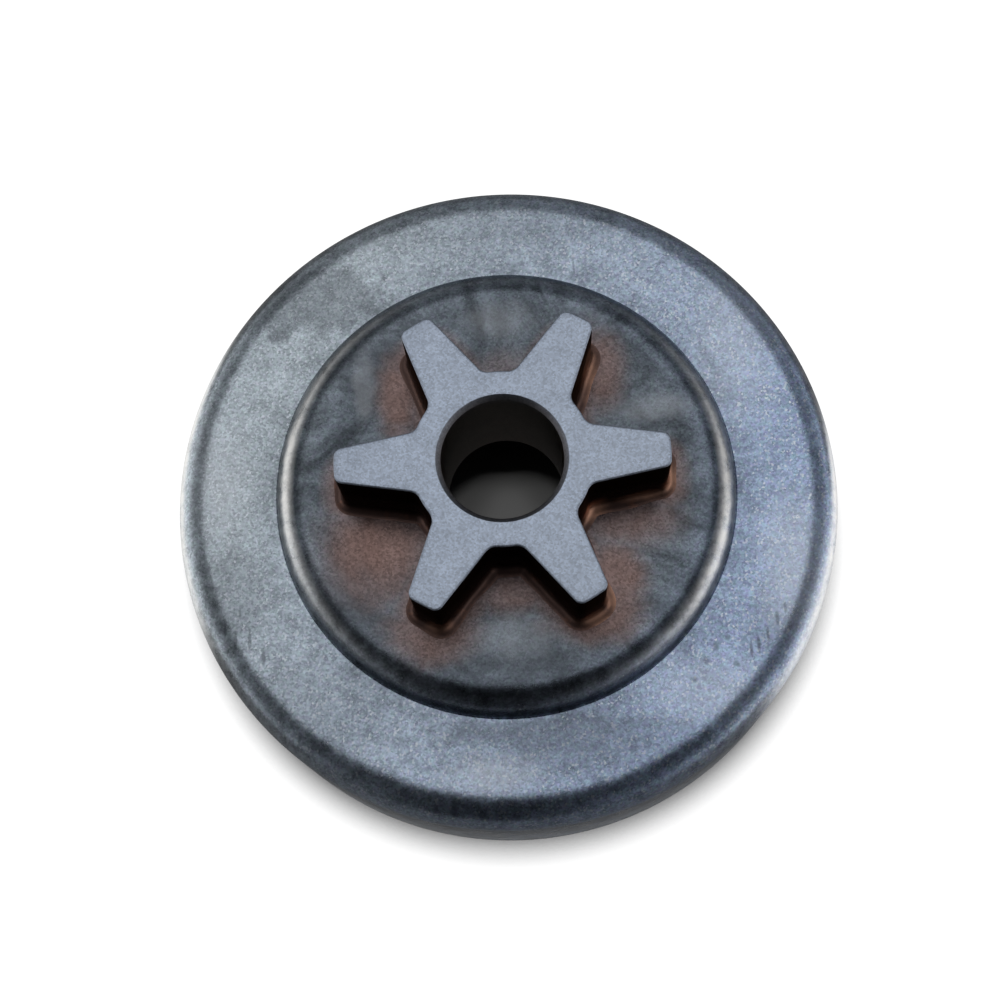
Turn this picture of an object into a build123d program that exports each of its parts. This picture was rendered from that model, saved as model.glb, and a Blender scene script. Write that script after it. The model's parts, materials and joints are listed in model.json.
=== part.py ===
from build123d import *
import os
from math import cos, radians, tan

# Chainsaw clutch drum: a pressed steel cup with a six-tooth spur sprocket brazed on its boss.
# It stands on its open rim at z = 0, with its axis on +Z, the sprocket on top and one tooth along +X.
# Millimetres and degrees.

# Pressed cup
drum_diameter = 63.0
wall_thickness = 2.0
web_thickness = 2.0
cup_height = 15.0
shoulder_radius = 2.9
inside_shoulder_chamfer = 0.7
rim_edge_chamfer = 0.4
rim_lead_in = 0.6

# Round boss pressed up in the middle of the web
boss_diameter = 43.3
boss_height = 2.5
boss_draft = 10.0
boss_edge_radius = 2.7
boss_lip_chamfer = 0.8

# Spur sprocket
tooth_count = 6
tip_diameter = 30.0
root_diameter = 16.3
tooth_tip_width = 3.06
tooth_root_width = 5.48
tooth_height = 7.7
tip_corner_radius = 0.8
valley_corner_radius = 1.2
tooth_edge_break = 0.15
spigot_diameter = 15.2
spigot_length = 5.2
spigot_edge_break = 0.4
bore_diameter = 11.0
bore_mouth_chamfer = 0.45
bore_exit_chamfer = 0.4

# Copper braze
braze_gap = 0.05
braze_leg = 1.0

# Sizes that follow from those above
drum_radius = drum_diameter / 2
friction_radius = drum_radius - wall_thickness
web_underside = cup_height - web_thickness
boss_foot_radius = boss_diameter / 2
boss_crown_radius = boss_foot_radius - boss_height * tan(radians(boss_draft))
boss_top = cup_height + boss_height
boss_underside = boss_top - web_thickness
spigot_hole_radius = spigot_diameter / 2 + braze_gap
spigot_end = boss_top - spigot_length
sprocket_top = boss_top + tooth_height
tip_radius = tip_diameter / 2
root_radius = root_diameter / 2
bore_radius = bore_diameter / 2


def corner_at(profile, place):
    """The corner of a flat profile that lies at the given point."""
    return profile.vertices().sort_by_distance(Vector(*place))[0]


def make_drum_cup():
    """Turn the cup's section about the axis: wall, shoulder, flat ring, boss and the hole for the spigot."""
    rim_outside = (drum_radius, 0)
    shoulder = (drum_radius, cup_height)
    boss_foot = (boss_foot_radius, cup_height)
    boss_crown = (boss_crown_radius, boss_top)
    boss_hollow = (boss_crown_radius - web_thickness, boss_underside)
    boss_lip = (boss_foot_radius - web_thickness, web_underside)
    inside_shoulder = (friction_radius, web_underside)
    rim_inside = (friction_radius, 0)
    section = make_face(
        Polyline(
            rim_outside,
            shoulder,
            boss_foot,
            boss_crown,
            (spigot_hole_radius, boss_top),
            (spigot_hole_radius, boss_underside),
            boss_hollow,
            boss_lip,
            inside_shoulder,
            rim_inside,
            close=True,
        )
    )
    wall_turn = radians(90 - boss_draft) / 2
    fullest_round = 0.95 * boss_height / (cos(radians(boss_draft)) * tan(wall_turn))
    section = fillet(corner_at(section, boss_crown), min(boss_edge_radius, fullest_round))
    section = fillet(corner_at(section, shoulder), shoulder_radius)
    section = chamfer(corner_at(section, boss_lip), boss_lip_chamfer)
    section = chamfer(corner_at(section, inside_shoulder), inside_shoulder_chamfer)
    section = chamfer(corner_at(section, rim_outside), rim_edge_chamfer)
    section = chamfer(corner_at(section, rim_inside), rim_lead_in)
    return revolve(Plane.XZ * section, Axis.Z)


def star_outline():
    """Plan of the teeth: tapered teeth on a round root, cut to the tip circle, with all corners rounded."""
    taper = (tooth_root_width - tooth_tip_width) / (tip_radius - root_radius)
    width_at_axis = tooth_root_width + taper * root_radius
    reach = tip_radius + tip_corner_radius
    width_at_reach = tooth_tip_width - taper * tip_corner_radius
    tooth = make_face(
        Polyline(
            (0, -width_at_axis / 2),
            (reach, -width_at_reach / 2),
            (reach, width_at_reach / 2),
            (0, width_at_axis / 2),
            close=True,
        )
    )
    star = Circle(root_radius)
    for number in range(tooth_count):
        star += Rot(0, 0, number * 360 / tooth_count) * tooth
    star = star & Circle(tip_radius)
    halfway = (tip_radius + root_radius) / 2
    tip_corners = star.vertices().filter_by(lambda corner: corner.center().length > halfway)
    star = fillet(tip_corners, tip_corner_radius)
    valley_corners = star.vertices().filter_by(lambda corner: corner.center().length < halfway)
    return fillet(valley_corners, valley_corner_radius)


def round_bar(radius, low, high):
    """Solid round bar on the axis between two heights."""
    return Pos(0, 0, low) * Cylinder(radius, high - low, align=(Align.CENTER, Align.CENTER, Align.MIN))


def make_bore():
    """Shape of the bearing bore that is cut away, with its two chamfered mouths."""
    section = make_face(
        Polyline(
            (0, spigot_end),
            (bore_radius + bore_exit_chamfer, spigot_end),
            (bore_radius, spigot_end + bore_exit_chamfer),
            (bore_radius, sprocket_top - bore_mouth_chamfer),
            (bore_radius + bore_mouth_chamfer, sprocket_top),
            (0, sprocket_top),
            close=True,
        )
    )
    return revolve(Plane.XZ * section, Axis.Z)


def make_spur_sprocket():
    """Teeth that stand on the boss, on a spigot that passes down through it, bored right through."""
    teeth = extrude(Pos(0, 0, boss_top) * star_outline(), amount=tooth_height)
    teeth = chamfer(teeth.faces().sort_by(Axis.Z)[-1].edges(), tooth_edge_break)
    spigot = round_bar(spigot_diameter / 2, spigot_end, boss_top)
    spigot = chamfer(spigot.edges().group_by(Axis.Z)[0], spigot_edge_break)
    return teeth + spigot - make_bore()


def make_braze_fillet():
    """Sloping bead of braze metal in the corner between the boss and the feet of the teeth."""
    seat = round_bar(tip_radius + 2 * braze_leg, boss_top - braze_leg, boss_top)
    feet = extrude(Pos(0, 0, boss_top) * star_outline(), amount=2 * braze_leg)
    boss_face = (seat + feet).faces().filter_by(Axis.Z).sort_by(Axis.Z)[1]
    corner = boss_face.inner_wires()[0].edges()
    return chamfer(corner, braze_leg) - seat - feet


os.makedirs("parts", exist_ok=True)
export_step(make_drum_cup(), "parts/drum_cup.step")
export_step(make_spur_sprocket(), "parts/spur_sprocket.step")
export_step(make_braze_fillet(), "parts/braze_fillet.step")
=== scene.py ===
import json
from math import acos, atan2, ceil, copysign, cos, hypot, pi, radians, sin, sqrt, tan

import bpy
import numpy as np
from bpy.props import FloatProperty, FloatVectorProperty, IntProperty, PointerProperty
from mathutils import Matrix, Vector, noise


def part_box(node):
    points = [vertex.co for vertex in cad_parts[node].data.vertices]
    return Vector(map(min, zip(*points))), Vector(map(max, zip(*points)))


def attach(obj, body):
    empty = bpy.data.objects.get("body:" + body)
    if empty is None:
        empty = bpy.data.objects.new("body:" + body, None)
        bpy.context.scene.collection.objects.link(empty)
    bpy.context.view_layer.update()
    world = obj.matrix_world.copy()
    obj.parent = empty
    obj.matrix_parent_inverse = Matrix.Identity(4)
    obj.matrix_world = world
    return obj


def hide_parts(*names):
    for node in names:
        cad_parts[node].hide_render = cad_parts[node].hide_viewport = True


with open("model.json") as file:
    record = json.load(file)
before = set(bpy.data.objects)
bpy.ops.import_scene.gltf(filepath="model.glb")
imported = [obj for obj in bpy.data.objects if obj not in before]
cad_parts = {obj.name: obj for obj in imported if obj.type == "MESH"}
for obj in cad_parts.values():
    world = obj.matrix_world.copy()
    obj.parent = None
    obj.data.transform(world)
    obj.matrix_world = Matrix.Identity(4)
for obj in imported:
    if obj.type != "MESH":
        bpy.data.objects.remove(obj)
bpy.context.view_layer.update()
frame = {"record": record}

bl_info = {
    "name": "Clutch drum",
    "version": (1, 0, 0),
    "blender": (4, 5, 0),
    "location": "3D View > Sidebar > Clutch drum",
    "description": "Builds a pressed clutch drum with its brazed chain sprocket, and the studio around it",
    "category": "Add Mesh",
}

MM = 0.001
_, cup_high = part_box("drum_cup")
sprocket_low, sprocket_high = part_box("spur_sprocket")
mounts = {mount["name"]: mount for mount in frame["record"]["mounts"]}
# Clearance round the spigot, which copper fills in the real drum.
SPIGOT_GAP = 0.05 * MM
# Turn, about the drum's axis, of the line on which the white screens stand to the left and right.
SCREEN_TURN = radians(10)

# Oil and heat stains on the cup, and painted shade on its near side: middle and half size in mm, softness of
# the edge, and depth of each patch.
STAINS_AND_SHADE = (
    ((-18.0, 20.0, 15.0), (7.5, 3.4, 3.0), 0.25, 0.4),
    ((-25.5, -8.5, 15.0), (3.2, 4.5, 3.0), 0.6, 0.3),
    ((23.0, -14.5, 15.0), (2.2, 3.0, 3.0), 0.8, 0.25),
    ((17.0, -12.5, 17.5), (3.0, 2.0, 2.0), 0.8, 0.4),
    # Painted shade along the near side of the ring.
    ((5.0, -24.2, 15.0), (9.0, 2.2, 3.0), 0.9, 0.5),
    # Painted shade on the lower left of the ring.
    ((-16.5, -19.5, 15.0), (8.0, 5.0, 3.0), 0.9, 0.25),
    ((2.0, 26.5, 15.0), (9.0, 2.6, 3.0), 0.9, 0.25),
    # Painted shade along the near side of the ring, next to the boss.
    ((3.0, -23.0, 15.0), (11.0, 1.6, 3.0), 0.7, 0.5),
    ((-21.5, 16.6, 15.0), (1.2, 0.8, 3.0), 0.4, 0.5),
    ((-12.0, 13.0, 17.5), (4.5, 3.5, 2.0), 0.8, 0.4),
    # Painted shade on the near side of the boss.
    ((0.0, -17.6, 17.5), (9.0, 2.4, 2.0), 0.9, 0.35),
    ((-14.0, -11.5, 17.5), (5.0, 4.0, 2.0), 0.9, 0.45),
)
# Short scores in the ring, which share their height and softness.
SCORES = [((x, y, 15.0), (width, length, 3.0), 0.5, depth) for x, y, width, length, depth in (
    (-26.6, -12.2, 0.16, 0.7, 0.5),
    (-25.6, -13.2, 0.14, 0.8, 0.55),
    (-24.3, -13.4, 0.16, 1.0, 0.5),
    (-23.0, -15.0, 0.18, 0.8, 0.5),
    (-25.2, -10.6, 0.12, 0.6, 0.4),
    (21.8, -16.4, 0.14, 0.6, 0.55),
    (22.5, -15.9, 0.16, 0.7, 0.6),
    (23.4, -15.0, 0.14, 0.6, 0.5),
    (24.4, -13.6, 0.18, 0.6, 0.55),
    (25.2, -12.6, 0.14, 0.5, 0.5),
    (17.6, -17.2, 0.3, 0.3, 0.5),
    (18.6, -15.9, 0.25, 0.4, 0.5),
    (19.7, -15.2, 0.3, 0.25, 0.5),
    (20.3, -17.6, 0.25, 0.3, 0.45),
    (16.4, -18.9, 0.3, 0.25, 0.45),
    (7.6, 22.4, 0.1, 1.1, 0.3),
)]
# Painted glints: bright copper laid where the braze catches the light, with the same four values for each.
PAINTED_GLINTS = (
    ((7.9, -3.2, 18.2), (1.4, 1.0, 1.2), 0.6, 0.9),
    ((11.5, -1.9, 18.0), (3.0, 0.6, 0.8), 0.6, 0.6),
    ((15.2, -0.4, 18.6), (0.9, 1.6, 1.8), 0.6, 0.9),
    ((9.6, -11.2, 19.5), (1.0, 1.8, 2.4), 0.6, 0.9),
    ((8.0, -13.6, 18.0), (1.8, 0.8, 0.8), 0.6, 0.7),
    ((8.5, 9.6, 19.5), (0.8, 3.2, 2.4), 0.6, 0.7),
    ((-6.6, -13.6, 18.2), (1.4, 0.6, 0.8), 0.6, 0.35),
)
# Painted highlights: lighter spots laid where the ring and boss catch the light, with the same four values
# for each.
PAINTED_HIGHLIGHTS = (
    ((-2.4, -26.8, 15.0), (3.4, 1.4, 3.0), 0.9, 0.28),
    ((17.8, -20.0, 15.0), (4.4, 2.6, 3.0), 0.9, 0.2),
    ((27.0, -9.5, 15.0), (3.0, 6.0, 3.0), 0.9, 0.32),
    ((-27.5, 2.5, 15.0), (2.4, 5.0, 3.0), 0.9, 0.25),
    ((22.5, 14.0, 15.0), (3.0, 6.0, 3.0), 0.9, 0.2),
    ((-13.0, 10.0, 17.5), (1.0, 3.2, 2.0), 0.5, 0.14),
    ((14.5, 6.5, 17.5), (3.2, 1.2, 2.0), 0.6, 0.12),
    ((0.0, 16.0, 17.5), (2.6, 1.6, 2.0), 0.7, 0.14),
    ((0.5, -14.5, 17.5), (3.0, 1.6, 2.0), 0.7, 0.1),
)
# Copper that has crept over the boss between the teeth, in lobes at one height.
WASHES = [((x, y, 17.5), (width, length, 3.0), *edge) for x, y, width, length, *edge in (
    (-12.0, -5.4, 4.6, 4.4, 0.7, 0.9),
    (10.8, -3.8, 4.2, 2.8, 0.6, 0.65),
    (9.6, -9.6, 2.4, 3.4, 0.6, 0.75),
    (-6.9, -14.0, 4.0, 2.6, 0.6, 0.7),
    (7.2, -13.2, 4.2, 2.2, 0.6, 0.75),
    (0.0, -10.6, 3.6, 2.0, 0.6, 0.6),
    (-9.8, 8.8, 1.8, 3.8, 0.6, 0.8),
    (9.2, 11.0, 2.4, 4.0, 0.6, 0.7),
    (0.0, 11.0, 3.4, 2.0, 0.6, 0.3),
)]


def linear(hex_colour):
    """Linear red, green and blue of an sRGB colour written as hex."""
    shares = [int(hex_colour[place:place + 2], 16) / 255 for place in (1, 3, 5)]
    return [share / 12.92 if share <= 0.04045 else ((share + 0.055) / 1.055) ** 2.4 for share in shares]


class CupShape(bpy.types.PropertyGroup):
    """Sizes of the pressed cup."""

    drum_radius: FloatProperty(
        name="Drum radius", description="Outside radius of the cup's wall",
        default=cup_high.x, unit="LENGTH")
    boss_top: FloatProperty(
        name="Boss top", description="Height of the boss above the open rim",
        default=cup_high.z, unit="LENGTH")
    cup_height: FloatProperty(
        name="Cup height", description="Height of the flat ring above the open rim",
        default=15.0 * MM, unit="LENGTH")
    sheet_thickness: FloatProperty(
        name="Sheet", description="Thickness of the pressed sheet",
        default=2.0 * MM, unit="LENGTH")
    friction_radius: FloatProperty(
        name="Friction radius", description="Inside radius, where the clutch shoes grip",
        default=mounts["clutch_face"]["dims"]["r_mm"] * MM, unit="LENGTH")
    shoulder_radius: FloatProperty(
        name="Shoulder", description="Round between the wall and the flat ring",
        default=2.9 * MM, unit="LENGTH")
    boss_radius: FloatProperty(
        name="Boss radius", description="Radius of the boss at its foot",
        default=21.65 * MM, unit="LENGTH")
    boss_draft: FloatProperty(
        name="Boss draft", description="Lean of the boss's side",
        default=radians(10), subtype="ANGLE")
    boss_edge_radius: FloatProperty(
        name="Boss edge", description="Round at the top of the boss",
        default=2.7 * MM, unit="LENGTH")
    foot_groove: FloatProperty(
        name="Foot groove", description="Width of the fine crease that the press leaves round the boss",
        default=0.1 * MM, unit="LENGTH")
    segments: IntProperty(
        name="Segments", description="Steps round the cup",
        default=288)


class SprocketShape(bpy.types.PropertyGroup):
    """Sizes of the six-tooth spur sprocket."""

    tooth_count: IntProperty(
        name="Teeth", description="Number of teeth",
        default=mounts["chain_teeth"]["dims"]["count"])
    tip_radius: FloatProperty(
        name="Tip radius", description="Radius of the circle on the tooth tips",
        default=sprocket_high.x, unit="LENGTH")
    root_radius: FloatProperty(
        name="Root radius", description="Radius of the round between the teeth",
        default=8.15 * MM, unit="LENGTH")
    tip_width: FloatProperty(
        name="Tip width", description="Width of a tooth at the tip circle",
        default=3.06 * MM, unit="LENGTH")
    root_width: FloatProperty(
        name="Root width", description="Width of a tooth at the root circle",
        default=5.48 * MM, unit="LENGTH")
    tip_corner: FloatProperty(
        name="Tip corner", description="Round at the corners of a tooth's tip",
        default=0.8 * MM, unit="LENGTH")
    valley_corner: FloatProperty(
        name="Valley corner", description="Round where a tooth meets the root",
        default=1.2 * MM, unit="LENGTH")
    edge_round: FloatProperty(
        name="Edge round", description="Round that tumbling leaves along the top edges",
        default=0.18 * MM, unit="LENGTH")
    bore_radius: FloatProperty(
        name="Bore radius", description="Radius of the bearing bore",
        default=mounts["bearing_bore"]["dims"]["r_mm"] * MM, unit="LENGTH")
    mouth_chamfer: FloatProperty(
        name="Mouth chamfer", description="Chamfer at the top of the bore",
        default=0.45 * MM, unit="LENGTH")
    exit_chamfer: FloatProperty(
        name="Exit chamfer", description="Chamfer at the bottom of the bore and round the spigot",
        default=0.4 * MM, unit="LENGTH")
    spigot_radius: FloatProperty(
        name="Spigot radius", description="Radius of the spigot that passes through the boss",
        default=7.6 * MM, unit="LENGTH")


class BrazeShape(bpy.types.PropertyGroup):
    """Sizes of the copper braze round the feet of the teeth."""

    leg: FloatProperty(
        name="Leg", description="Width and height of the braze fillet",
        default=1.0 * MM, unit="LENGTH")
    unevenness: FloatProperty(
        name="Unevenness", description="How much the fillet's width wanders, as a share of its leg",
        default=0.3, subtype="FACTOR")
    wash_reach: FloatProperty(
        name="Wash", description="How far the copper has crept over the boss from the teeth",
        default=2.6 * MM, unit="LENGTH")


class FinishColours(bpy.types.PropertyGroup):
    """Colours of the metals."""

    ring_steel: FloatVectorProperty(
        name="Ring steel", description="Tumbled steel of the flat ring",
        default=linear("#aab0b5"), subtype="COLOR")
    ring_blue: FloatVectorProperty(
        name="Ring blue", description="Bluer temper colour of the ring toward the right",
        default=linear("#a3acbe"), subtype="COLOR")
    boss_oxide: FloatVectorProperty(
        name="Boss oxide", description="Furnace-blackened steel of the boss",
        default=linear("#5a5e63"), subtype="COLOR")
    # Also the colour of the painted highlights on the ring and boss.
    grain_and_highlight: FloatVectorProperty(
        name="Bright grain", description="Single bright crystals in the steel",
        default=linear("#d2d6dc"), subtype="COLOR")
    # Bare steel of the worn edges, painted near white as a sheen where the edges catch the light.
    edge_wear_and_sheen: FloatVectorProperty(
        name="Worn edge", description="Bare steel along the rubbed edges of the rim and the boss",
        default=linear("#f2f0ec"), subtype="COLOR")
    # Also the colour of the painted shade on the near side of the ring and boss.
    stain_and_shade: FloatVectorProperty(
        name="Stain", description="Dark oil and heat stains",
        default=linear("#4a4e54"), subtype="COLOR")
    tooth_face: FloatVectorProperty(
        name="Tooth face", description="Top face of the sprocket",
        default=linear("#c4cfe0"), subtype="COLOR")
    tooth_wall: FloatVectorProperty(
        name="Tooth wall", description="Brown-black sides of the teeth",
        default=linear("#33251e"), subtype="COLOR")
    bore_wall: FloatVectorProperty(
        name="Bore wall", description="Dark wall of the bearing bore",
        default=linear("#584d45"), subtype="COLOR")
    copper: FloatVectorProperty(
        name="Copper", description="Braze metal of the fillet",
        default=linear("#8f6552"), subtype="COLOR")
    # Painted glints: the colour laid where the braze catches the light.
    painted_glint_copper: FloatVectorProperty(
        name="Bright copper", description="Clean copper at the feet and corners of some teeth",
        default=linear("#c99a82"), subtype="COLOR")
    copper_wash: FloatVectorProperty(
        name="Copper wash", description="Thin copper film that has crept over the boss",
        default=linear("#77605a"), subtype="COLOR")


class StageSettings(bpy.types.PropertyGroup):
    """The studio: floor, lamps and camera."""

    lamp_height: FloatProperty(
        name="Lamp height", description="Height of the two lamps above the floor",
        default=0.6, unit="LENGTH")
    lamp_tilt: FloatProperty(
        name="Lamp tilt", description="How far each lamp stands from straight above, to the left and right",
        default=radians(5.5), subtype="ANGLE")
    lamp_size: FloatProperty(
        name="Lamp size", description="Side of each square lamp",
        default=0.07, unit="LENGTH")
    lamp_power: FloatProperty(
        name="Lamp power", description="Power of each lamp",
        default=0.4, unit="POWER")
    softbox_power: FloatProperty(
        name="Softbox power", description="Power of the wide softbox overhead",
        default=0.47, unit="POWER")
    softbox_width: FloatProperty(
        name="Softbox width", description="Size of the softbox from left to right",
        default=0.44, unit="LENGTH")
    softbox_depth: FloatProperty(
        name="Softbox depth", description="Size of the softbox from near to far",
        default=0.36, unit="LENGTH")
    softbox_offset: FloatProperty(
        name="Softbox offset", description="How far beyond the drum the softbox hangs",
        default=0.17, unit="LENGTH")
    softbox_height: FloatProperty(
        name="Softbox height", description="Height of the softbox above the floor",
        default=0.62, unit="LENGTH")
    floor_glow: FloatProperty(
        name="Floor glow", description="Light that the white floor adds of itself, so that it shows white",
        default=0.97)
    surroundings: FloatVectorProperty(
        name="Far side", description="Dim room on the far side",
        default=linear("#848689"), subtype="COLOR")
    side_walls: FloatVectorProperty(
        name="Side walls", description="Paler room to the left and right",
        default=linear("#98999b"), subtype="COLOR")
    near_side: FloatVectorProperty(
        name="Near side", description="Dark room on the camera's side",
        default=linear("#1c1d1f"), subtype="COLOR")
    skyline: FloatProperty(
        name="Skyline", description="Brightness of the white screens that stand low to the left and right",
        default=0.85)
    camera_place: FloatVectorProperty(
        name="Camera place", description="Where the camera stands",
        default=(2.875 * MM, -43.298 * MM, 165.774 * MM), unit="LENGTH")
    camera_aim: FloatVectorProperty(
        name="Camera aim", description="The point in the middle of the picture",
        default=(-0.586 * MM, -1.048 * MM, 15.0 * MM), unit="LENGTH")
    camera_roll: FloatProperty(
        name="Camera roll", description="Turn of the camera about its own axis",
        default=radians(-7.36), subtype="ANGLE")
    lens: FloatProperty(
        name="Lens", description="Focal length in millimetres, for a 36 mm wide picture",
        default=59.87)


class DrumSettings(bpy.types.PropertyGroup):
    """Everything a user may change."""

    cup: PointerProperty(type=CupShape)
    sprocket: PointerProperty(type=SprocketShape)
    braze: PointerProperty(type=BrazeShape)
    colours: PointerProperty(type=FinishColours)
    stage: PointerProperty(type=StageSettings)


def new_piece(name, rings, material, node):
    """Mesh skinned over closed rings of points, riding on the drum in place of its CAD node."""
    ring_count, step_count, _ = rings.shape
    ring = np.arange(ring_count)[:, None]
    step = np.arange(step_count)[None, :]
    next_ring = (ring + 1) % ring_count
    next_step = (step + 1) % step_count
    corners = [ring * step_count + step, ring * step_count + next_step,
               next_ring * step_count + next_step, next_ring * step_count + step]
    faces = np.stack(corners, axis=-1).reshape(-1, 4)
    mesh = bpy.data.meshes.new(name)
    mesh.from_pydata(rings.reshape(-1, 3).tolist(), [], faces.tolist())
    if mesh.validate():
        raise RuntimeError(f"the mesh of {name} has faulty faces")
    mesh.shade_smooth()
    mesh.set_sharp_from_angle(angle=radians(32))
    mesh.materials.append(material)
    piece = bpy.data.objects.new(name, mesh)
    bpy.context.scene.collection.objects.link(piece)
    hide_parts(node)
    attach(piece, "root")
    return piece


def mark(piece, name, values):
    """Store one number per point for a material to read."""
    attribute = piece.data.attributes.new(name, "FLOAT", "POINT")
    attribute.data.foreach_set("value", np.asarray(values, dtype=np.float32).ravel())


def add_node(tree, kind, inputs=None, **settings):
    """Add one node with its settings, and set or link its inputs by socket name or number."""
    node = tree.nodes.new(kind)
    for name, value in settings.items():
        setattr(node, name, value)
    for socket, value in (inputs or {}).items():
        if isinstance(value, bpy.types.NodeSocket):
            tree.links.new(value, node.inputs[socket])
        else:
            node.inputs[socket].default_value = value
    return node


def new_material(name):
    """Empty node material with its output."""
    material = bpy.data.materials.new(name)
    material.use_nodes = True
    tree = material.node_tree
    tree.nodes.clear()
    return material, tree, add_node(tree, "ShaderNodeOutputMaterial")


def opaque(colour):
    """Colour with full alpha, for a node's colour socket."""
    return (*colour, 1.0)


def per_metre(size_mm):
    """Texture scale of a pattern whose repeats are this many millimetres apart."""
    return 1 / (size_mm * MM)


def heading(angle):
    """Flat unit direction at an angle from +X."""
    return np.array([cos(angle), sin(angle)])


def turning(angle):
    """Flat turn by an angle, for a column of two numbers."""
    return np.array([[cos(angle), -sin(angle)], [sin(angle), cos(angle)]])


def rounded_section(corners, step):
    """Points, at most a step apart, along a closed section with its corners rounded."""
    count = len(corners)
    points = []
    for number, (radius, height, fillet) in enumerate(corners):
        here = np.array([radius, height])
        before = np.array(corners[number - 1][:2]) - here
        after = np.array(corners[(number + 1) % count][:2]) - here
        before /= hypot(*before)
        after /= hypot(*after)
        half = acos(np.clip(before @ after, -1, 1)) / 2
        reach = fillet / tan(half)
        centre = here + (before + after) / hypot(*(before + after)) * fillet / sin(half)
        start = here + before * reach - centre
        turn = copysign(pi - 2 * half, before[1] * after[0] - before[0] * after[1])
        pieces = max(2, ceil(abs(turn) * fillet / step))
        for piece in range(pieces + 1):
            points.append(centre + turning(turn * piece / pieces) @ start)
    section = []
    for here, after in zip(points, points[1:] + points[:1]):
        pieces = max(1, ceil(hypot(after[0] - here[0], after[1] - here[1]) / step))
        for piece in range(pieces):
            section.append(here + (after - here) * piece / pieces)
    return np.array(section)


def tooth_half(shape):
    """Half the outline of the tooth on +X, from the middle of its tip to the middle of the valley."""
    tip_steps, corner_steps, flank_steps, valley_steps, root_steps = 4, 8, 17, 10, 6
    taper = (shape.root_width - shape.tip_width) / (shape.tip_radius - shape.root_radius) / 2
    lean = sqrt(1 + taper * taper)
    across = np.array([taper, 1]) / lean
    along = np.array([1, -taper]) / lean
    flank_offset = (shape.root_width / 2 + taper * shape.root_radius) / lean
    tip_offset = flank_offset - shape.tip_corner
    tip_reach = sqrt((shape.tip_radius - shape.tip_corner) ** 2 - tip_offset ** 2)
    tip_centre = across * tip_offset + along * tip_reach
    valley_offset = flank_offset + shape.valley_corner
    valley_reach = sqrt((shape.root_radius + shape.valley_corner) ** 2 - valley_offset ** 2)
    valley_centre = across * valley_offset + along * valley_reach
    flank_angle = atan2(across[1], across[0])
    tip_angle = atan2(tip_centre[1], tip_centre[0])
    valley_angle = atan2(valley_centre[1], valley_centre[0])
    points = [shape.tip_radius * heading(angle) for angle in np.linspace(0, tip_angle, tip_steps + 1)[:-1]]
    for angle in np.linspace(tip_angle, flank_angle, corner_steps + 1):
        points.append(tip_centre + shape.tip_corner * heading(angle))
    flank_start = points[-1]
    flank_end = valley_centre - shape.valley_corner * across
    for share in np.linspace(0, 1, flank_steps + 1)[1:]:
        points.append(flank_start + (flank_end - flank_start) * share)
    for angle in np.linspace(flank_angle - pi, valley_angle - pi, valley_steps + 1)[1:]:
        points.append(valley_centre + shape.valley_corner * heading(angle))
    for angle in np.linspace(valley_angle, pi / shape.tooth_count, root_steps + 1)[1:]:
        points.append(shape.root_radius * heading(angle))
    return np.array(points)


def star_outline(shape):
    """Outline of all the teeth as points, with the outward direction at each of them."""
    half = tooth_half(shape)
    step = 2 * pi / shape.tooth_count
    mirrored = (half * [1, -1])[1:-1][::-1] @ turning(step).T
    points = []
    for number in range(shape.tooth_count):
        turn = turning(step * number).T
        points += [half @ turn, mirrored @ turn]
    outline = np.concatenate(points)
    along = np.roll(outline, -1, axis=0) - np.roll(outline, 1, axis=0)
    outward = np.stack([along[:, 1], -along[:, 0]], axis=-1)
    return outline, outward / np.linalg.norm(outward, axis=1)[:, None]


def at_height(outline, height):
    """Ring of points: a flat outline lifted to a height, which may differ from point to point."""
    return np.column_stack([outline, np.broadcast_to(height, len(outline))])


def circle_below(outline, radius):
    """Points on a circle, in the directions of an outline's points."""
    return outline * (radius / np.linalg.norm(outline, axis=1))[:, None]


def patches(tree, place, ragged, spots):
    """Share, from 0 to 1, of ragged patches, each with a middle and half size in mm, a softness and a depth.

    The ragged pattern, which is 0.5 on average, moves a patch's edge in and out.
    """
    raggedness = 1.6
    edge = 1 + raggedness / 2
    total = 0.0
    for middle, size, softness, depth in spots:
        spread = add_node(
            tree, "ShaderNodeVectorMath",
            {0: place, 1: [value * MM for value in middle]}, operation="SUBTRACT")
        squeezed = add_node(
            tree, "ShaderNodeVectorMath",
            {0: spread.outputs[0], 1: [per_metre(value) for value in size]}, operation="MULTIPLY")
        length = add_node(tree, "ShaderNodeVectorMath", {0: squeezed.outputs[0]}, operation="LENGTH")
        torn = add_node(
            tree, "ShaderNodeMath",
            {0: ragged, 1: raggedness, 2: length.outputs["Value"]}, operation="MULTIPLY_ADD")
        share = add_node(
            tree, "ShaderNodeMapRange",
            {"Value": torn.outputs[0], "From Min": edge - softness, "From Max": edge + softness,
             "To Min": depth, "To Max": 0.0}, interpolation_type="SMOOTHSTEP")
        total = add_node(
            tree, "ShaderNodeMath", {0: total, 1: share.outputs["Result"]}, operation="MAXIMUM").outputs[0]
    return total


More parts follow.
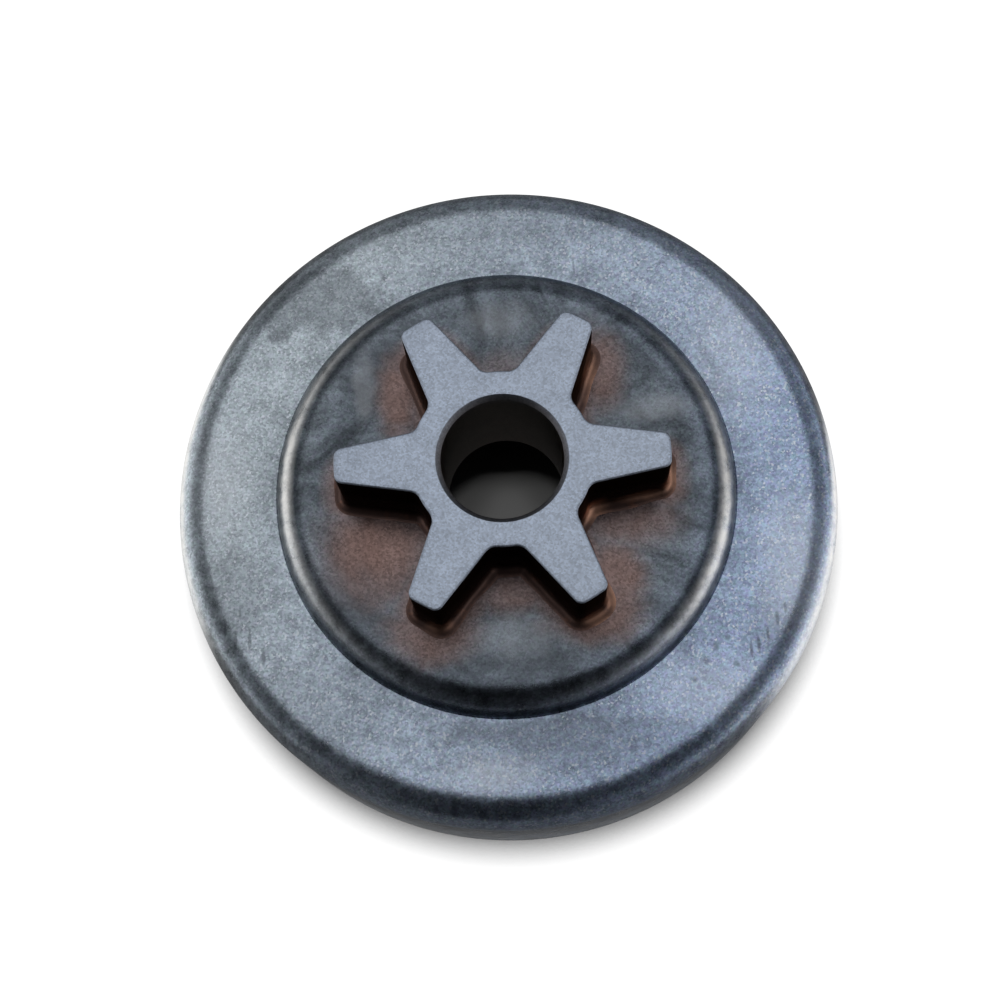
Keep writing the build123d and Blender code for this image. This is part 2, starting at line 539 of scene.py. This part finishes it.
def blackened_steel(colours, wash_reach):
    """Low-carbon steel, pressed, blackened in the brazing furnace and tumbled.

    It gives dull grey-blue metal with a fine glitter of crystals, oil and heat stains, darker where the oxide
    is thick, and a brown copper film near the braze. Painted on it are shade on the near side of the ring and
    boss, highlights where the ring catches the light, and a sheen on the worn edges, brightest left and
    right.
    """
    material, tree, output = new_material("blackened_pressed_steel")
    place = add_node(tree, "ShaderNodeTexCoord").outputs["Object"]
    oxide, wear_and_sheen, reach = [
        add_node(tree, "ShaderNodeAttribute", attribute_name=name).outputs["Fac"]
        for name in ("oxide", "wear_and_sheen", "braze_distance")]
    # Crystals of about 0.05 mm glitter; they are drawn 0.18 mm apart so that they show.
    crystals = add_node(tree, "ShaderNodeTexVoronoi", {"Vector": place, "Scale": per_metre(0.18)})
    crystal = add_node(tree, "ShaderNodeSeparateColor", {"Color": crystals.outputs["Color"]})
    clouds = add_node(
        tree, "ShaderNodeTexNoise",
        {"Vector": place, "Scale": per_metre(11), "Detail": 7.0, "Roughness": 0.6, "Distortion": 0.8})
    mottle = add_node(
        tree, "ShaderNodeTexNoise",
        {"Vector": place, "Scale": per_metre(1.4), "Detail": 5.0, "Roughness": 0.7})
    tint = add_node(
        tree, "ShaderNodeTexNoise",
        {"Vector": place, "Scale": per_metre(0.5), "Detail": 2.0, "Roughness": 0.6})
    across = add_node(
        tree, "ShaderNodeVectorMath", {0: place, 1: (0.9, -0.4, 0.0)}, operation="DOT_PRODUCT")
    blueness = add_node(
        tree, "ShaderNodeMapRange",
        {"Value": across.outputs["Value"], "From Min": -22 * MM, "From Max": 22 * MM})
    ring = add_node(
        tree, "ShaderNodeMix",
        {0: blueness.outputs["Result"], 6: opaque(colours.ring_steel), 7: opaque(colours.ring_blue)},
        data_type="RGBA")
    body = add_node(
        tree, "ShaderNodeMix",
        {0: oxide, 6: ring.outputs[2], 7: opaque(colours.boss_oxide)}, data_type="RGBA")
    swirls = add_node(
        tree, "ShaderNodeTexNoise",
        {"Vector": place, "Scale": per_metre(8), "Detail": 5.0, "Roughness": 0.55, "Distortion": 2.5})
    swirl_share = add_node(
        tree, "ShaderNodeMapRange",
        {"Value": swirls.outputs["Fac"], "From Min": 0.35, "From Max": 0.65, "To Min": -0.45, "To Max": 0.45})
    cloud_gain = add_node(
        tree, "ShaderNodeMath", {0: oxide, 1: 0.75, 2: 0.25}, operation="MULTIPLY_ADD")
    swirl_gain = add_node(
        tree, "ShaderNodeMath",
        {0: swirl_share.outputs["Result"], 1: cloud_gain.outputs[0], 2: 1.0}, operation="MULTIPLY_ADD")
    grain_gain = add_node(
        tree, "ShaderNodeMapRange",
        {"Value": crystal.outputs["Red"], "To Min": 0.72, "To Max": 1.28})
    mottle_gain = add_node(
        tree, "ShaderNodeMapRange",
        {"Value": mottle.outputs["Fac"], "From Min": 0.32, "From Max": 0.68, "To Min": 0.74, "To Max": 1.26})
    fine_gain = add_node(
        tree, "ShaderNodeMath",
        {0: grain_gain.outputs["Result"], 1: mottle_gain.outputs["Result"]}, operation="MULTIPLY")
    gain = add_node(
        tree, "ShaderNodeMath",
        {0: fine_gain.outputs[0], 1: swirl_gain.outputs[0]}, operation="MULTIPLY")
    grained = add_node(
        tree, "ShaderNodeVectorMath", {0: body.outputs[2], "Scale": gain.outputs[0]}, operation="SCALE")
    glitter = add_node(
        tree, "ShaderNodeMapRange",
        {"Value": crystal.outputs["Green"], "From Min": 0.82, "From Max": 1.0, "To Max": 0.85})
    shown_glitter = add_node(
        tree, "ShaderNodeMath", {0: oxide, 1: -0.85, 2: glitter.outputs["Result"]}, operation="MULTIPLY_ADD",
        use_clamp=True)
    glittered = add_node(
        tree, "ShaderNodeMix",
        {0: shown_glitter.outputs[0], 6: grained.outputs[0], 7: opaque(colours.grain_and_highlight)},
        data_type="RGBA")
    hue = add_node(
        tree, "ShaderNodeMapRange",
        {"Value": tint.outputs["Fac"], "From Min": 0.3, "From Max": 0.7, "To Min": 0.455, "To Max": 0.535})
    marked = add_node(
        tree, "ShaderNodeHueSaturation",
        {"Hue": hue.outputs["Result"], "Saturation": 1.5, "Color": glittered.outputs[2]}).outputs[0]
    # Stains with painted shade, then painted highlights, then scores are laid over the colour in turn.
    for spots, ragged, colour in (
            (STAINS_AND_SHADE, mottle.outputs["Fac"], colours.stain_and_shade),
            (PAINTED_HIGHLIGHTS, mottle.outputs["Fac"], colours.grain_and_highlight),
            (SCORES, 0.5, colours.stain_and_shade)):
        marked = add_node(
            tree, "ShaderNodeMix",
            {0: patches(tree, place, ragged, spots), 6: marked, 7: opaque(colour)},
            data_type="RGBA").outputs[2]
    # Painted sheen: the worn edges turn near white, most to the left and right.
    wear_and_sheen_ragged = add_node(
        tree, "ShaderNodeMapRange",
        {"Value": mottle.outputs["Fac"], "From Min": 0.3, "From Max": 0.6, "To Min": 0.35, "To Max": 0.95})
    wear_and_sheen_share = add_node(
        tree, "ShaderNodeMath", {0: wear_and_sheen, 1: wear_and_sheen_ragged.outputs["Result"]}, operation="MULTIPLY")
    side_sheen = add_node(
        tree, "ShaderNodeMix",
        {0: wear_and_sheen_share.outputs[0], 6: marked, 7: opaque(colours.edge_wear_and_sheen)}, data_type="RGBA")
    halo = add_node(
        tree, "ShaderNodeMapRange",
        {"Value": reach, "From Min": 0.6 * MM, "From Max": wash_reach, "To Min": 0.75, "To Max": 0.0})
    wash_share = add_node(
        tree, "ShaderNodeMath",
        {0: halo.outputs["Result"], 1: patches(tree, place, clouds.outputs["Fac"], WASHES)},
        operation="MAXIMUM")
    washed_copper = add_node(
        tree, "ShaderNodeVectorMath",
        {0: colours.copper_wash, "Scale": fine_gain.outputs[0]}, operation="SCALE")
    washed = add_node(
        tree, "ShaderNodeMix",
        {0: wash_share.outputs[0], 6: side_sheen.outputs[2], 7: washed_copper.outputs[0]}, data_type="RGBA")
    edge_tint = add_node(
        tree, "ShaderNodeMix",
        {0: oxide, 6: opaque(linear("#ffffff")), 7: opaque(linear("#9a9a9a"))}, data_type="RGBA")
    roughness = add_node(
        tree, "ShaderNodeMapRange",
        {"Value": mottle.outputs["Fac"], "From Min": 0.3, "From Max": 0.7, "To Min": 0.25, "To Max": 0.36})
    grit = add_node(
        tree, "ShaderNodeTexNoise",
        {"Vector": place, "Scale": per_metre(0.4), "Detail": 3.0, "Roughness": 0.6})
    bump = add_node(
        tree, "ShaderNodeBump", {"Height": grit.outputs["Fac"], "Strength": 0.25, "Distance": 0.05 * MM})
    shader = add_node(
        tree, "ShaderNodeBsdfPrincipled",
        {"Base Color": washed.outputs[2], "Metallic": 1.0, "Roughness": roughness.outputs["Result"],
         "Specular Tint": edge_tint.outputs[2], "Normal": bump.outputs["Normal"]})
    tree.links.new(shader.outputs[0], output.inputs["Surface"])
    return material


def tumbled_steel(colours):
    """Hardened sprocket steel, tumbled grey on top and left brown-black from the furnace at the sides.

    It gives a pale flat face with fine even grain, and dark sides that turn to copper at the feet, with
    painted glints of bright copper at some feet and corners.
    """
    material, tree, output = new_material("tumbled_hardened_steel")
    place = add_node(tree, "ShaderNodeTexCoord").outputs["Object"]
    face, bore, rise = [
        add_node(tree, "ShaderNodeAttribute", attribute_name=name).outputs["Fac"]
        for name in ("top_face", "bore", "rise")]
    # Tumbling pits are about 0.05 mm wide; they are drawn 0.16 mm apart so that they show.
    pits = add_node(tree, "ShaderNodeTexVoronoi", {"Vector": place, "Scale": per_metre(0.16)})
    pit_shade = add_node(tree, "ShaderNodeSeparateColor", {"Color": pits.outputs["Color"]})
    mottle = add_node(
        tree, "ShaderNodeTexNoise",
        {"Vector": place, "Scale": per_metre(2.0), "Detail": 4.0, "Roughness": 0.6})
    creep = add_node(
        tree, "ShaderNodeMath", {0: mottle.outputs["Fac"], 1: 5 * MM, 2: rise}, operation="MULTIPLY_ADD")
    creep_share = add_node(
        tree, "ShaderNodeMapRange",
        {"Value": creep.outputs[0], "From Min": 2.4 * MM, "From Max": 6.8 * MM, "To Min": 0.8, "To Max": 0.0})
    coppered = add_node(
        tree, "ShaderNodeMix",
        {0: creep_share.outputs["Result"], 6: opaque(colours.tooth_wall), 7: opaque(colours.copper_wash)},
        data_type="RGBA")
    # Painted glints of bright copper on the tooth walls.
    glinting = add_node(
        tree, "ShaderNodeMix",
        {0: patches(tree, place, mottle.outputs["Fac"], PAINTED_GLINTS), 6: coppered.outputs[2],
         7: opaque(colours.painted_glint_copper)}, data_type="RGBA")
    sides = add_node(
        tree, "ShaderNodeMix",
        {0: bore, 6: glinting.outputs[2], 7: opaque(colours.bore_wall)}, data_type="RGBA")
    surface = add_node(
        tree, "ShaderNodeMix",
        {0: face, 6: sides.outputs[2], 7: opaque(colours.tooth_face)}, data_type="RGBA")
    grain_gain = add_node(
        tree, "ShaderNodeMapRange",
        {"Value": pit_shade.outputs["Red"], "To Min": 0.82, "To Max": 1.18})
    mottle_gain = add_node(
        tree, "ShaderNodeMapRange",
        {"Value": mottle.outputs["Fac"], "From Min": 0.3, "From Max": 0.7, "To Min": 0.92, "To Max": 1.08})
    gain = add_node(
        tree, "ShaderNodeMath",
        {0: grain_gain.outputs["Result"], 1: mottle_gain.outputs["Result"]}, operation="MULTIPLY")
    grained = add_node(
        tree, "ShaderNodeVectorMath", {0: surface.outputs[2], "Scale": gain.outputs[0]}, operation="SCALE")
    clean = add_node(tree, "ShaderNodeMath", {0: face, 1: bore}, operation="MAXIMUM")
    edge_tint = add_node(
        tree, "ShaderNodeMix",
        {0: clean.outputs[0], 6: opaque(linear("#8a7868")), 7: opaque(linear("#ffffff"))}, data_type="RGBA")
    roughness = add_node(
        tree, "ShaderNodeMapRange", {"Value": face, "To Min": 0.42, "To Max": 0.5})
    bump = add_node(
        tree, "ShaderNodeBump", {"Height": pits.outputs["Distance"], "Strength": 0.2, "Distance": 0.03 * MM})
    shader = add_node(
        tree, "ShaderNodeBsdfPrincipled",
        {"Base Color": grained.outputs[0], "Metallic": 1.0, "Roughness": roughness.outputs["Result"],
         "Specular Tint": edge_tint.outputs[2], "Normal": bump.outputs["Normal"]})
    tree.links.new(shader.outputs[0], output.inputs["Surface"])
    return material


def furnace_copper(colours):
    """Copper braze that ran in the furnace.

    It gives smooth brown metal with paler streaks where it stayed clean, painted dark as shade where it meets
    the tooth walls, and painted glints of bright copper.
    """
    material, tree, output = new_material("furnace_braze_copper")
    place = add_node(tree, "ShaderNodeTexCoord").outputs["Object"]
    streaks = add_node(
        tree, "ShaderNodeTexNoise",
        {"Vector": place, "Scale": per_metre(1.6), "Detail": 5.0, "Roughness": 0.65})
    # Painted shade: the bead is as dark as the tooth wall where it meets it, turning to copper wash toward
    # its outer edge.
    spread = add_node(tree, "ShaderNodeAttribute", attribute_name="spread").outputs["Fac"]
    shaded_bead = add_node(
        tree, "ShaderNodeMix",
        {0: spread, 6: opaque(colours.tooth_wall), 7: opaque(colours.copper_wash)}, data_type="RGBA")
    share = add_node(
        tree, "ShaderNodeMapRange",
        {"Value": streaks.outputs["Fac"], "From Min": 0.55, "From Max": 0.75, "To Max": 0.7})
    colour = add_node(
        tree, "ShaderNodeMix",
        {0: share.outputs["Result"], 6: shaded_bead.outputs[2], 7: opaque(colours.copper)}, data_type="RGBA")
    # Painted glints of bright copper on the bead.
    glinting = add_node(
        tree, "ShaderNodeMix",
        {0: patches(tree, place, streaks.outputs["Fac"], PAINTED_GLINTS), 6: colour.outputs[2],
         7: opaque(colours.painted_glint_copper)}, data_type="RGBA")
    roughness = add_node(
        tree, "ShaderNodeMapRange", {"Value": streaks.outputs["Fac"], "To Min": 0.55, "To Max": 0.3})
    bump = add_node(
        tree, "ShaderNodeBump", {"Height": streaks.outputs["Fac"], "Strength": 0.3, "Distance": 0.1 * MM})
    shader = add_node(
        tree, "ShaderNodeBsdfPrincipled",
        {"Base Color": glinting.outputs[2], "Metallic": 1.0, "Roughness": roughness.outputs["Result"],
         "Normal": bump.outputs["Normal"]})
    tree.links.new(shader.outputs[0], output.inputs["Surface"])
    return material


def studio_white(glow, drum_radius):
    """White studio board.

    It takes the lamps' shadows and glows white, except close to the drum and under it. The metal sees it as
    a strip of light that lies to the left and right.
    """
    material, tree, output = new_material("white_studio_board")
    path = add_node(tree, "ShaderNodeLightPath")
    place = add_node(tree, "ShaderNodeTexCoord").outputs["Object"]
    away = add_node(tree, "ShaderNodeVectorMath", {0: place}, operation="LENGTH")
    turned = add_node(
        tree, "ShaderNodeVectorRotate", {"Vector": place, "Angle": SCREEN_TURN}, rotation_type="Z_AXIS")
    along = add_node(tree, "ShaderNodeVectorMath", {0: turned.outputs[0]}, operation="ABSOLUTE")
    split = add_node(tree, "ShaderNodeSeparateXYZ", {"Vector": along.outputs[0]})
    off_strip = add_node(
        tree, "ShaderNodeMath",
        {0: split.outputs["X"], 1: -0.3, 2: split.outputs["Y"]}, operation="MULTIPLY_ADD")
    strip = add_node(
        tree, "ShaderNodeMapRange",
        {"Value": off_strip.outputs[0], "From Min": 3 * MM, "From Max": 13 * MM,
         "To Min": 1.0, "To Max": 0.0}, interpolation_type="SMOOTHSTEP")
    beside = add_node(
        tree, "ShaderNodeMapRange",
        {"Value": away.outputs["Value"], "From Min": drum_radius + 2 * MM, "From Max": drum_radius + 18 * MM,
         "To Min": 0.5, "To Max": 1.05})
    strip_light = add_node(
        tree, "ShaderNodeMath",
        {0: strip.outputs["Result"], 1: beside.outputs["Result"]}, operation="MULTIPLY")
    foot = add_node(
        tree, "ShaderNodeMapRange",
        {"Value": away.outputs["Value"],
         "From Min": drum_radius + 0.3 * MM, "From Max": drum_radius + 1.8 * MM,
         "To Min": 1.1, "To Max": 0.0})
    pool = add_node(
        tree, "ShaderNodeMath", {0: strip_light.outputs[0], 1: foot.outputs["Result"]}, operation="MAXIMUM")
    mirrored = add_node(
        tree, "ShaderNodeMath",
        {0: path.outputs["Is Glossy Ray"], 1: path.outputs["Is Transmission Ray"]}, operation="MAXIMUM")
    in_metal = add_node(
        tree, "ShaderNodeMath", {0: mirrored.outputs[0], 1: pool.outputs[0]}, operation="MULTIPLY")
    seen = add_node(
        tree, "ShaderNodeMath",
        {0: path.outputs["Is Camera Ray"], 1: in_metal.outputs[0]}, operation="MAXIMUM")
    outside = add_node(
        tree, "ShaderNodeMath", {0: away.outputs["Value"], 1: drum_radius}, operation="GREATER_THAN")
    open_sky = add_node(tree, "ShaderNodeAmbientOcclusion", {"Distance": 3.2 * MM}, samples=4)
    shade = add_node(
        tree, "ShaderNodeMapRange",
        {"Value": open_sky.outputs["AO"], "From Min": 0.4, "From Max": 1.0, "To Max": glow})
    open_glow = add_node(
        tree, "ShaderNodeMath", {0: shade.outputs["Result"], 1: outside.outputs[0]}, operation="MULTIPLY")
    shown = add_node(
        tree, "ShaderNodeMath", {0: open_glow.outputs[0], 1: seen.outputs[0]}, operation="MULTIPLY")
    board = add_node(
        tree, "ShaderNodeBsdfPrincipled",
        {"Base Color": opaque(linear("#8e8e8e")), "Roughness": 0.8, "Specular IOR Level": 0.0,
         "Emission Color": opaque(linear("#ffffff")), "Emission Strength": shown.outputs[0]})
    tree.links.new(board.outputs[0], output.inputs["Surface"])
    return material


def dim_room(stage):
    """Dim studio room: dark on the camera's side, grey beyond, with low white screens to the left and right.

    The camera itself sees it white, so that it runs on from the floor.
    """
    world = bpy.data.worlds.new("dim_room")
    world.use_nodes = True
    tree = world.node_tree
    tree.nodes.clear()
    outlook = add_node(tree, "ShaderNodeTexCoord").outputs["Generated"]
    split = add_node(tree, "ShaderNodeSeparateXYZ", {"Vector": outlook})
    away = add_node(
        tree, "ShaderNodeMapRange", {"Value": split.outputs["Y"], "From Min": -0.4, "From Max": 0.3},
        interpolation_type="SMOOTHSTEP")
    room = add_node(
        tree, "ShaderNodeMix",
        {0: away.outputs["Result"], 6: opaque(stage.near_side), 7: opaque(stage.surroundings)},
        data_type="RGBA")
    sideways = add_node(
        tree, "ShaderNodeVectorMath",
        {0: outlook, 1: (cos(SCREEN_TURN), -sin(SCREEN_TURN), 0.0)}, operation="DOT_PRODUCT")
    aside = add_node(
        tree, "ShaderNodeMath",
        {0: sideways.outputs["Value"], 1: sideways.outputs["Value"]}, operation="MULTIPLY")
    screens = add_node(
        tree, "ShaderNodeMath", {0: aside.outputs[0], 1: aside.outputs[0]}, operation="MULTIPLY")
    sides = add_node(
        tree, "ShaderNodeMix",
        {0: aside.outputs[0], 6: room.outputs[2], 7: opaque(stage.side_walls)}, data_type="RGBA")
    skyline = add_node(
        tree, "ShaderNodeMapRange",
        {"Value": split.outputs["Z"], "From Min": 0.08, "From Max": 0.6,
         "To Min": stage.skyline, "To Max": 0.0}, interpolation_type="SMOOTHSTEP")
    glow = add_node(
        tree, "ShaderNodeMath", {0: skyline.outputs["Result"], 1: screens.outputs[0]}, operation="MULTIPLY")
    lit = add_node(
        tree, "ShaderNodeVectorMath", {0: sides.outputs[2], 1: glow.outputs[0]}, operation="ADD")
    path = add_node(tree, "ShaderNodeLightPath")
    shown = add_node(
        tree, "ShaderNodeMix",
        {0: path.outputs["Is Camera Ray"], 6: lit.outputs[0], 7: opaque(linear("#ffffff"))},
        data_type="RGBA")
    background = add_node(tree, "ShaderNodeBackground", {"Color": shown.outputs[2]})
    add_node(tree, "ShaderNodeOutputWorld", {"Surface": background.outputs[0]})
    return world


class CLUTCHDRUM_OT_drum_cup(bpy.types.Operator):
    """Build the pressed cup in place of its CAD node"""

    bl_idname = "clutchdrum.drum_cup"
    bl_label = "Drum cup"

    def execute(self, context):
        settings = context.scene.clutch_drum
        shape = settings.cup
        lean = (shape.boss_top - shape.cup_height) * tan(shape.boss_draft)
        crown_radius = shape.boss_radius - lean
        web_low = shape.cup_height - shape.sheet_thickness
        boss_low = shape.boss_top - shape.sheet_thickness
        hole_radius = settings.sprocket.spigot_radius + SPIGOT_GAP
        groove = shape.foot_groove
        crease_round, sharp_round, hole_round = 0.03 * MM, 0.05 * MM, 0.1 * MM
        rim_round, lip_round = 0.4 * MM, 0.6 * MM
        bend_round, web_round = 0.9 * MM, 1.0 * MM
        section_step = 0.4 * MM
        section = rounded_section(
            [
                (shape.drum_radius, 0, rim_round),
                (shape.drum_radius, shape.cup_height, shape.shoulder_radius),
                (shape.boss_radius + groove, shape.cup_height, sharp_round),
                (shape.boss_radius + groove / 2, shape.cup_height - groove / 2, crease_round),
                (shape.boss_radius, shape.cup_height, crease_round),
                (crown_radius, shape.boss_top, shape.boss_edge_radius),
                (hole_radius, shape.boss_top, sharp_round),
                (hole_radius, boss_low, hole_round),
                (crown_radius - shape.sheet_thickness, boss_low, bend_round),
                (shape.boss_radius - shape.sheet_thickness, web_low, web_round),
                (shape.friction_radius, web_low, bend_round),
                (shape.friction_radius, 0, lip_round),
            ],
            section_step,
        )
        radius, height = section[:, 0], section[:, 1]
        shoulder_low = shape.cup_height - shape.shoulder_radius
        # The oxide is thick on the boss, thin on its edge, and thicker again by its foot and on the wall.
        oxide = np.interp(
            radius,
            [crown_radius - 4 * MM, crown_radius - 1 * MM, shape.boss_radius - 0.3 * MM,
             shape.boss_radius + 0.1 * MM, shape.boss_radius + 3 * MM],
            [1.0, 0.75, 0.05, 0.35, 0.0])
        oxide[height < shoulder_low] = 0.6
        # Worn edges of the boss top and the rim, which also carry the painted sheen.
        wear_and_sheen = np.interp(radius, [shape.boss_radius - 1.9 * MM, shape.boss_radius - 1.3 * MM], [0, 1])
        wear_and_sheen[height < shape.cup_height + 0.05 * MM] = 0
        rim = np.interp(radius, [shape.drum_radius - 1.0 * MM, shape.drum_radius - 0.5 * MM], [0, 1])
        wear_and_sheen = np.maximum(wear_and_sheen, np.where(height > shoulder_low, rim, 0))
        angles = np.linspace(0, 2 * pi, shape.segments, endpoint=False)
        circle = np.stack([np.cos(angles), np.sin(angles)], axis=-1)
        rings = np.array([at_height(circle * point[0], point[1]) for point in section[::-1]])
        piece = new_piece(
            "drum_cup_pressing", rings, blackened_steel(settings.colours, settings.braze.wash_reach),
            "drum_cup")
        mark(piece, "oxide", np.repeat(oxide[::-1], len(angles)))
        # Bare steel along the edges, with a painted sheen that is brightest to the left and right, where the
        # edges catch the light.
        side_sheen = 0.05 + 0.95 * np.abs(np.cos(angles + radians(8))) ** 4
        mark(piece, "wear_and_sheen", np.outer(wear_and_sheen[::-1], side_sheen))
        outline, _ = star_outline(settings.sprocket)
        places = rings.reshape(-1, 3)
        gaps = np.full(len(places), 1.0)
        inside = np.linalg.norm(places[:, :2], axis=1) < shape.boss_radius
        on_boss = inside & (places[:, 2] > shape.cup_height)
        spans = np.linalg.norm(places[on_boss][:, None, :2] - outline[None], axis=2)
        gaps[on_boss] = spans.min(axis=1)
        mark(piece, "braze_distance", gaps)
        return {"FINISHED"}


class CLUTCHDRUM_OT_spur_sprocket(bpy.types.Operator):
    """Build the six-tooth sprocket in place of its CAD node"""

    bl_idname = "clutchdrum.spur_sprocket"
    bl_label = "Spur sprocket"

    def execute(self, context):
        settings = context.scene.clutch_drum
        shape = settings.sprocket
        outline, outward = star_outline(shape)
        foot, top, end = settings.cup.boss_top, sprocket_high.z, sprocket_low.z
        edge = shape.edge_round
        wall_rings, edge_rings, face_rings, bore_rings = 14, 4, 10, 11
        rings, face, bore = [], [], []

        def add_ring(points, height, top_share, bore_share):
            rings.append(at_height(points, height))
            face.append(top_share)
            bore.append(bore_share)

        add_ring(circle_below(outline, shape.spigot_radius), end + shape.exit_chamfer, 0, 0)
        add_ring(circle_below(outline, shape.spigot_radius), foot, 0, 0)
        for height in np.linspace(foot, top - edge, wall_rings):
            add_ring(outline, height, 0, 0)
        for angle in np.linspace(0, pi / 2, edge_rings + 1)[1:]:
            drawn_in = outline - outward * edge * (1 - cos(angle))
            add_ring(drawn_in, top - edge * (1 - sin(angle)), sin(angle), 0)
        inset = outline - outward * 3 * edge
        mouth = circle_below(outline, shape.bore_radius + shape.mouth_chamfer)
        for share in np.linspace(0, 1, face_rings):
            add_ring(inset + (mouth - inset) * share, top, 1, 0)
        for share, clean in ((0.06, 0.5), (0.2, 0.3), (1, 0.15)):
            rim = circle_below(outline, shape.bore_radius + shape.mouth_chamfer * (1 - share))
            add_ring(rim, top - shape.mouth_chamfer * share, clean, 1 - clean)
        for height in np.linspace(top - shape.mouth_chamfer, end + shape.exit_chamfer, bore_rings + 1)[1:]:
            add_ring(circle_below(outline, shape.bore_radius), height, 0, 1)
        add_ring(circle_below(outline, shape.bore_radius + shape.exit_chamfer), end, 0, 0.5)
        add_ring(circle_below(outline, shape.spigot_radius - shape.exit_chamfer), end, 0, 0)
        piece = new_piece(
            "spur_sprocket_star", np.array(rings), tumbled_steel(settings.colours),
            "spur_sprocket")
        mark(piece, "top_face", np.repeat(face, len(outline)))
        mark(piece, "bore", np.repeat(bore, len(outline)))
        mark(piece, "rise", np.array(rings)[:, :, 2] - foot)
        return {"FINISHED"}


class CLUTCHDRUM_OT_braze_fillet(bpy.types.Operator):
    """Build the uneven copper fillet in place of its CAD node"""

    bl_idname = "clutchdrum.braze_fillet"
    bl_label = "Braze fillet"

    def execute(self, context):
        settings = context.scene.clutch_drum
        shape = settings.braze
        outline, outward = star_outline(settings.sprocket)
        foot = settings.cup.boss_top
        wander = np.array([noise.noise(Vector((*place, 0)) / (3 * MM)) for place in outline])
        climb = np.array([noise.noise(Vector((*place, 0.02)) / (2 * MM)) for place in outline])
        width = shape.leg * (1 + shape.unevenness * (wander - 0.3))
        height = shape.leg * (1 + shape.unevenness * climb)
        angles = np.linspace(0, pi / 2, 8)
        rings = [at_height(outline, foot)]
        for angle in angles:
            rings.append(at_height(
                outline + outward * (width * (1 - cos(angle)))[:, None], foot + height * (1 - sin(angle))))
        piece = new_piece(
            "braze_fillet_bead", np.array(rings)[::-1], furnace_copper(settings.colours),
            "braze_fillet")
        # Painted shade: 0 at the tooth wall, where the bead is coloured dark, rising toward the bead's outer
        # edge.
        spread = 0.75 * np.concatenate([[0], np.sin(angles)])[::-1]
        mark(piece, "spread", np.repeat(spread, len(outline)))
        return {"FINISHED"}


class CLUTCHDRUM_OT_stage(bpy.types.Operator):
    """Build the floor, the lamps, the room's dim light and the camera"""

    bl_idname = "clutchdrum.stage"
    bl_label = "Stage"

    def execute(self, context):
        scene = context.scene
        settings = scene.clutch_drum
        stage = settings.stage
        # The floor is 6 m wide and lies just under the open rim, so that the two faces don't coincide.
        half, low = 3.0, -0.02 * MM
        corners = [(-half, -half, low), (half, -half, low), (half, half, low), (-half, half, low)]
        mesh = bpy.data.meshes.new("studio_floor")
        mesh.from_pydata(corners, [], [(0, 1, 2, 3)])
        mesh.materials.append(studio_white(stage.floor_glow, settings.cup.drum_radius))
        floor = bpy.data.objects.new("studio_floor", mesh)
        scene.collection.objects.link(floor)
        for side in (-1, 1):
            data = bpy.data.lights.new("lamp", "AREA")
            data.shape = "SQUARE"
            data.size = stage.lamp_size
            data.energy = stage.lamp_power
            lamp = bpy.data.objects.new("lamp", data)
            lamp.location = (side * stage.lamp_height * tan(stage.lamp_tilt), 0, stage.lamp_height)
            lamp.visible_glossy = False
            lamp.rotation_euler = (-lamp.location).to_track_quat("-Z", "Y").to_euler()
            scene.collection.objects.link(lamp)
        data = bpy.data.lights.new("softbox", "AREA")
        data.shape = "RECTANGLE"
        data.size, data.size_y = stage.softbox_width, stage.softbox_depth
        data.energy = stage.softbox_power
        softbox = bpy.data.objects.new("softbox", data)
        softbox.location = (0, stage.softbox_offset, stage.softbox_height)
        scene.collection.objects.link(softbox)
        scene.world = dim_room(stage)
        data = bpy.data.cameras.new("camera")
        data.lens = stage.lens
        data.clip_start = 0.01
        camera = bpy.data.objects.new("camera", data)
        place, aim = Vector(stage.camera_place), Vector(stage.camera_aim)
        turn = (aim - place).to_track_quat("-Z", "Y").to_matrix() @ Matrix.Rotation(stage.camera_roll, 3, "Z")
        camera.location = place
        camera.rotation_euler = turn.to_euler()
        scene.collection.objects.link(camera)
        scene.camera = camera
        scene.view_settings.view_transform = "Standard"
        return {"FINISHED"}


class CLUTCHDRUM_PT_panel(bpy.types.Panel):
    """Sidebar panel with the steps in their order"""

    bl_idname = "CLUTCHDRUM_PT_panel"
    bl_label = "Clutch drum"
    bl_space_type = "VIEW_3D"
    bl_region_type = "UI"
    bl_category = "Clutch drum"

    def draw(self, context):
        for operator in operators:
            self.layout.operator(operator.bl_idname)


operators = (
    CLUTCHDRUM_OT_drum_cup, CLUTCHDRUM_OT_spur_sprocket, CLUTCHDRUM_OT_braze_fillet, CLUTCHDRUM_OT_stage)
classes = (CupShape, SprocketShape, BrazeShape, FinishColours, StageSettings, DrumSettings, *operators,
           CLUTCHDRUM_PT_panel)


def register():
    for each in classes:
        bpy.utils.register_class(each)
    bpy.types.Scene.clutch_drum = PointerProperty(type=DrumSettings)


def unregister():
    del bpy.types.Scene.clutch_drum
    for each in reversed(classes):
        bpy.utils.unregister_class(each)


def main():
    register()
    bpy.ops.clutchdrum.drum_cup()
    bpy.ops.clutchdrum.spur_sprocket()
    bpy.ops.clutchdrum.braze_fillet()
    bpy.ops.clutchdrum.stage()


if __name__ == "__main__":
    main()
